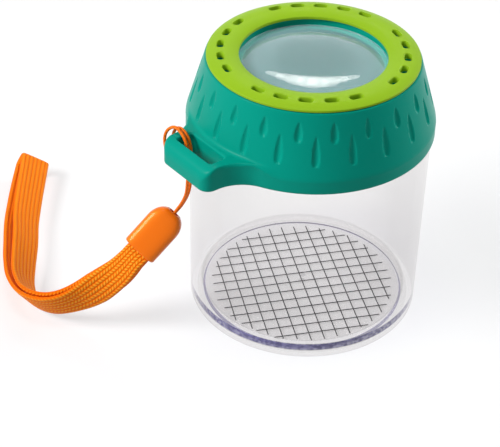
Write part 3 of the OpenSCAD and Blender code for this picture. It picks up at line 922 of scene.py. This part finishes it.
STRAP_ROUTE = (
    (-49.4, 13.4, 29.4, -45), (-52.2, 14.2, 26.4, -42), (-56.6, 17.4, 19.8, -28),
    (-63.9, 23.8, 11.6, 4), (-71, 30.2, 7.5, 24), (-74.1, 38.4, 6.1, 33), (-72.5, 46.6, 5.6, 38),
    (-68, 54.8, 5.4, 42), (-62.5, 63.2, 5.3, 46), (-56.9, 72, 5.3, 48), (-50.6, 80.6, 5.4, 49),
    (-43.8, 89.4, 5.5, 50), (-37, 98, 5.5, 52))


def along(route, step):
    """A point of the smooth curve through a route, where step counts in route points"""
    i = min(int(step), len(route) - 2)
    u = step - i
    b = Vector(route[i])
    c = Vector(route[i + 1])
    a = Vector(route[i - 1]) if i else 2 * b - c
    d = Vector(route[i + 2]) if i + 2 < len(route) else 2 * c - b
    return (2 * b + (c - a) * u + (2 * a - 5 * b + 4 * c - d) * u ** 2
            + (3 * b - a - 3 * c + d) * u ** 3) / 2


def sweep(name, rings, lengths, around):
    """A closed tube over rings of points in millimetres, with a UV map: x is the place round the
    ring and y the length in metres"""
    mesh = bmesh.new()
    layer = mesh.loops.layers.uv.new("weave")
    rows = [[mesh.verts.new(point * MM) for point in ring] for ring in rings]
    count = len(rings[0])
    for i in range(len(rings) - 1):
        for j in range(count):
            k = (j + 1) % count
            face = mesh.faces.new((rows[i][j], rows[i][k], rows[i + 1][k], rows[i + 1][j]))
            places = ((j, i), (j + 1, i), (j + 1, i + 1), (j, i + 1))
            for loop, (spot, row) in zip(face.loops, places):
                loop[layer].uv = (around[spot], lengths[row] * MM)
    for row in (rows[0][::-1], rows[-1]):
        mesh.faces.new(row)
    bmesh.ops.recalc_face_normals(mesh, faces=mesh.faces)
    data = bpy.data.meshes.new(name)
    mesh.to_mesh(data)
    mesh.free()
    piece = bpy.data.objects.new(name, data)
    bpy.context.scene.collection.objects.link(piece)
    return piece


def runs(points):
    """Length of the way from the first point to each"""
    lengths = [0.0]
    for here, there in zip(points, points[1:]):
        lengths.append(lengths[-1] + (there - here).length)
    return lengths


def make_cord(s):
    """A tube along the cord's route; also gives its path and its length"""
    fine, sides = 6, 14
    points = [along(CORD_ROUTE, i / fine) for i in range((len(CORD_ROUTE) - 1) * fine + 1)]
    turns = [k * 2 * math.pi / sides for k in range(sides)]
    rings = []
    side = None
    for i, point in enumerate(points):
        way = (points[min(i + 1, len(points) - 1)] - points[max(i - 1, 0)]).normalized()
        side = side - way * side.dot(way) if i else Vector((0, 1, 0)).cross(way)
        side.normalize()
        other = way.cross(side)
        rings.append([point + s.cord_d / 2 * (side * math.cos(a) + other * math.sin(a))
                      for a in turns])
    lengths = runs(points)
    cord = sweep("strap_cord_orange", rings, lengths, [k / sides for k in range(sides + 1)])
    return cord, points, lengths[-1]


def strap_at(share):
    """The folded webbing's middle, its direction, and the directions of its width and thickness"""
    fold_twist = 10
    last = len(STRAP_ROUTE) - 1
    here = along(STRAP_ROUTE, share * last)
    before = along(STRAP_ROUTE, max(0, share * last - 1 / last))
    after = along(STRAP_ROUTE, min(last, share * last + 1 / last))
    way = (after - before).xyz.normalized()
    level = Vector((0, 0, 1)).cross(way).normalized()
    up = way.cross(level)
    lean = math.radians(here.w + fold_twist * share ** 4)
    across = math.cos(lean) * up + math.sin(lean) * level
    thick = math.cos(lean) * level - math.sin(lean) * up
    return here.xyz, way, across, thick


def ply_section(width, thickness):
    """Section of one ply as (thickness, width, UV place) points: round edges and long ribs"""
    count, rib_d = RIBS * 6, 0.07
    face = []
    for k in range(count + 1):
        share = k / count
        full = (1 - abs(2 * share - 1) ** 7) ** 0.5
        rib = rib_d * (1 - abs(math.sin(math.pi * share * RIBS)) ** 0.7)
        face.append(((thickness / 2 - rib) * full, (share - 0.5) * width, share))
    back = [(-x, y, 2 - share) for x, y, share in face[::-1]]
    return face[:-1] + back[:-1]


def make_webbing(s):
    """One strip that goes out as a ply, round the fold and back as the other ply, which part
    towards the fold; also gives the path between the plies and the strip's length"""
    stations, fold_steps, flatness = 150, 12, 0.45
    widens_at, widens_over, parts_at, parts_over = 0.1, 0.12, 0.41, 0.3
    shares = [i / stations for i in range(stations + 1)]
    turns = [math.pi * i / fold_steps for i in range(1, fold_steps)]
    middles = []
    rings = []
    for share, turn in ([(share, 0) for share in shares] + [(1, turn) for turn in turns]
                        + [(share, math.pi) for share in shares[::-1]]):
        middle, way, across, thick = strap_at(share)
        width = s.neck_w + (s.width - s.neck_w) * min(1, max(0, (share - widens_at) / widens_over))
        gap = s.cap_gap + (s.fold_gap - s.cap_gap) * ease((share - parts_at) / parts_over)
        out = math.cos(turn) * thick
        ahead = math.sin(turn) * way
        middle += (s.ply_t + gap) / 2 * (out + flatness * ahead)
        middles.append(middle)
        rings.append([middle + x * (out + ahead) + y * across
                      for x, y, place in ply_section(width, s.ply_t)])
    around = [place for x, y, place in ply_section(1, 1)] + [2]
    lengths = runs(middles)
    webbing = sweep("wrist_strap_webbing", rings, lengths, around)
    return webbing, [strap_at(share)[0] for share in shares], lengths[-1]


def make_cap(s):
    """End cap: a rounded section drawn up to a round tip, with the sockets of webbing and cord"""
    half_w, half_t, tip_z = s.cap_w / 2, s.cap_t / 2, s.cap_l - s.cap_w / 2
    soft, squareness, tip_arc, tip_steps, tip_w, thinning = 0.45, 3.4, math.radians(72), 14, 2.3, 0.42
    cord_hole, webbing_hole, hole_d = (1.55, 1.45), (4.05, 1.8), 4
    stations = []
    for k in range(4):
        a = math.pi / 2 * k / 4
        inset = soft * (1 - math.sin(a))
        stations.append((soft - soft * math.cos(a), half_w - inset, half_t - inset))
    for z in (soft, 2, 4, 6, 8, tip_z):
        stations.append((z, half_w, half_t))
    for k in range(1, tip_steps + 1):
        a = tip_arc * k / tip_steps
        stations.append((tip_z + half_w * math.sin(a) / math.sin(tip_arc),
                         max(half_w * math.cos(a) ** 0.8, tip_w),
                         half_t * (1 - (k / tip_steps) ** 3.2 * thinning)))
    cap = begin(bpy.ops.mesh.primitive_circle_add, "cord_cap_orange", vertices=72, radius=MM,
                fill_type="NOTHING")
    end()
    base, top = stations[0], stations[-1]
    for vertex in cap.data.vertices:
        x, y = vertex.co.xy / MM
        swell = (abs(x) ** squareness + abs(y) ** squareness) ** (-1 / squareness)
        vertex.co = Vector((x * swell * base[1], y * swell * base[2], base[0])) * MM
    edit(cap)
    bpy.ops.mesh.select_all(action="SELECT")

    def through(*stations):
        draw_out([(z1 - z0, w1 / w0, t1 / t0)
                  for (z0, w0, t0), (z1, w1, t1) in zip(stations, stations[1:])])

    through(*stations)
    through(top, (top[0], *cord_hole), (top[0] - hole_d, *cord_hole))
    bpy.ops.mesh.edge_face_add()
    pick("VERT", lambda co: co.z < 0.01 * MM)
    through(base, (base[0], *webbing_hole), (base[0] + hole_d, *webbing_hole))
    bpy.ops.mesh.edge_face_add()
    close_up()
    end()
    place = Matrix.Translation(Vector((-50.9, 13.7, 28)) * MM)
    for degrees, axis in ((-11, "Z"), (48, "Y"), (-46, "Z")):
        place @= Matrix.Rotation(math.radians(degrees), 4, axis)
    cap.data.transform(place)
    return cap


# Operators

class MakeCamera(bpy.types.Operator):
    """Adds the camera at the photograph's viewing angle"""
    bl_idname = "bug_jar.camera"
    bl_label = "Camera"

    def execute(self, context):
        tilt = [math.radians(degrees) for degrees in (52.98166, -1.01971, -38.44387)]
        bpy.ops.object.camera_add(location=(-0.2273675, -0.2525172, 0.2782495), rotation=tilt)
        camera = context.object
        camera.name = "studio_camera"
        camera.data.lens = 101.495
        camera.data.sensor_width = 36
        context.scene.camera = camera
        return {"FINISHED"}


class MakeStrap(bpy.types.Operator):
    """Builds the cord, the end cap and the folded wrist strap"""
    bl_idname = "bug_jar.strap"
    bl_label = "Wrist strap"

    def execute(self, context):
        s = millimetres(context.scene.bug_jar_strap)
        tints = context.scene.bug_jar_colours
        cord, cord_path, cord_length = make_cord(s)
        cap = make_cap(s)
        webbing, strap_path, strip = make_webbing(s)
        dress(cord, 60, "lid", "orange_cord", "strap_cord", cord_finish, tints.webbing,
              tints.painted_crevice_shade)
        dress(cap, 38, "lid", "orange_plastic", "cord_cap", moulded_finish, tints.cap,
              roughness=0.4, gloss=0.7, grain=0.000001, coat=0.45, glint=tints.glint)
        dress(webbing, 60, "lid", "orange_webbing", "wrist_strap", webbing_finish, tints.webbing,
              tints.painted_crevice_shade, tints.glint, reach=strip * MM)
        tuple(cord_path[0] * MM)
        cord_length * MM
        [tuple(point * MM) for point in cord_path]
        tuple(strap_path[0] * MM)
        runs(strap_path)[-1] * MM
        [tuple(point * MM) for point in strap_path]
        return {"FINISHED"}


class MakeJar(bpy.types.Operator):
    """Builds the clear jar and inks its measuring grid"""
    bl_idname = "bug_jar.jar"
    bl_label = "Clear jar"

    def execute(self, context):
        s = millimetres(context.scene.bug_jar_sizes)
        tints = context.scene.bug_jar_colours
        dress(make_jar(s), 30, "jar", "clear_plastic", "jar", jar_finish, tints, s=s)
        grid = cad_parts["measuring_grid"]
        grid.data.materials.clear()
        grid.data.materials.append(ink_finish("grid_ink", tints.ink))
        return {"FINISHED"}


class MakeLid(bpy.types.Operator):
    """Builds the lid with its dimples, handle and flange"""
    bl_idname = "bug_jar.lid"
    bl_label = "Screw lid"

    def execute(self, context):
        lid = make_lid(millimetres(context.scene.bug_jar_lid),
                       millimetres(context.scene.bug_jar_ring))
        dress(lid, 32, "lid", "teal_plastic", "lid", moulded_finish,
              context.scene.bug_jar_colours.teal, roughness=0.32, gloss=0.06)
        return {"FINISHED"}


class MakeRing(bpy.types.Operator):
    """Builds the air ring and the lens under it"""
    bl_idname = "bug_jar.ring"
    bl_label = "Air ring and lens"

    def execute(self, context):
        s = millimetres(context.scene.bug_jar_ring)
        tints = context.scene.bug_jar_colours
        ring = make_air_ring(s, millimetres(context.scene.bug_jar_lid).top_z)
        dress(ring, 40, "lid", "lime_plastic", "vent_ring", moulded_finish, tints.lime,
              roughness=0.34, gloss=0.08)
        dress(make_lens(s), 30, "lens", "lens_plastic", "lens", lens_finish, tints.lens,
              tints.haze_and_painted_reflection, s=s)
        return {"FINISHED"}


def lamp(name, energy, place, target, size, size_y, shape="RECTANGLE", roll=0, tint=(1, 1, 1)):
    """An area lamp that looks at its target, rolled about its own axis by the given degrees"""
    bpy.ops.object.light_add(type="AREA", location=place)
    made = bpy.context.object
    made.name = name
    look = (Vector(target) - Vector(place)).to_track_quat("-Z", "Y")
    made.rotation_euler = (look @ Quaternion((0, 0, 1), math.radians(roll))).to_euler()
    made.data.energy = energy
    made.data.shape = shape
    made.data.size = size
    made.data.size_y = size_y
    made.data.color = tint


# Lamps whose reflections make the lens's crescent, from its middle to either tip: elevation and
# roll in degrees, and width and height in metres
CRESCENT = ((46.1, 0, 0.09, 0.069), (45.3, 19, 0.09, 0.062), (43.3, 36, 0.085, 0.042),
            (40.6, 52, 0.075, 0.024))


class MakeStudio(bpy.types.Operator):
    """Builds the pale floor, the world and the lamps"""
    bl_idname = "bug_jar.studio"
    bl_label = "Studio"

    def execute(self, context):
        floor = begin(bpy.ops.mesh.primitive_grid_add, "studio_floor", size=4, x_subdivisions=4,
                      y_subdivisions=4)
        end()
        floor.data.materials.append(floor_finish("studio_floor",
                                                 context.scene.bug_jar_colours.floor))
        world = Finish("studio_world", world=True)
        fill = world.shader("Background", Color=(0.97, 0.985, 1), Strength=0.25)
        white = world.shader("Background", Color=(1, 1, 1), Strength=1.0)
        context.scene.world = world.finished(world.blend(world.seen(), fill, white))
        lamp("key_lamp", 5.1, (-0.58, 0.22, 0.5), (0, 0, 0.05), 0.34, 0.26)
        lamp("top_lamp", 0.9, (-0.06, -0.04, 0.78), (0, 0, 0.06), 0.3, 0.2)
        lamp("side_lamp", 2.9, (0.61, -0.16, 0.36), (0, 0, 0.05), 0.3, 0.3)
        target = Vector((0, 0, 0.08))
        distance, middle, spacing, strength = 0.62, 48, 3.9, 11
        for i in range(-3, 4):
            rise, roll, wide, tall = CRESCENT[abs(i)]
            around = math.radians(middle + spacing * i)
            above = math.radians(rise)
            away = Vector((math.cos(above) * math.cos(around), math.cos(above) * math.sin(around),
                           math.sin(above)))
            lamp(f"lens_lamp_{i + 4}", strength * wide * tall, target + away * distance, target,
                 wide, tall, "ELLIPSE", roll if i < 0 else -roll, (1, 0.97, 0.93))
        context.scene.view_settings.view_transform = "Standard"
        return {"FINISHED"}


class BugJarPanel(bpy.types.Panel):
    """Lists the steps that build the jar"""
    bl_idname = "VIEW3D_PT_bug_jar"
    bl_label = "Bug Catcher Jar"
    bl_space_type = "VIEW_3D"
    bl_region_type = "UI"
    bl_category = "Bug Jar"

    def draw(self, context):
        for step in STEPS:
            self.layout.operator(step.bl_idname)


STEPS = (MakeCamera, MakeStrap, MakeJar, MakeLid, MakeRing, MakeStudio)
GROUPS = {"bug_jar_sizes": JarSizes, "bug_jar_lid": LidSizes, "bug_jar_ring": RingSizes,
          "bug_jar_strap": StrapSizes, "bug_jar_colours": JarColours}
CLASSES = (*GROUPS.values(), *STEPS, BugJarPanel)


def register():
    for made in CLASSES:
        bpy.utils.register_class(made)
    for name, group in GROUPS.items():
        setattr(bpy.types.Scene, name, PointerProperty(type=group))


def unregister():
    for name in GROUPS:
        delattr(bpy.types.Scene, name)
    for made in reversed(CLASSES):
        bpy.utils.unregister_class(made)


def main():
    register()
    bpy.ops.bug_jar.camera()
    bpy.ops.bug_jar.strap()
    bpy.ops.bug_jar.jar()
    bpy.ops.bug_jar.lid()
    bpy.ops.bug_jar.ring()
    bpy.ops.bug_jar.studio()


if __name__ == "__main__":
    main()
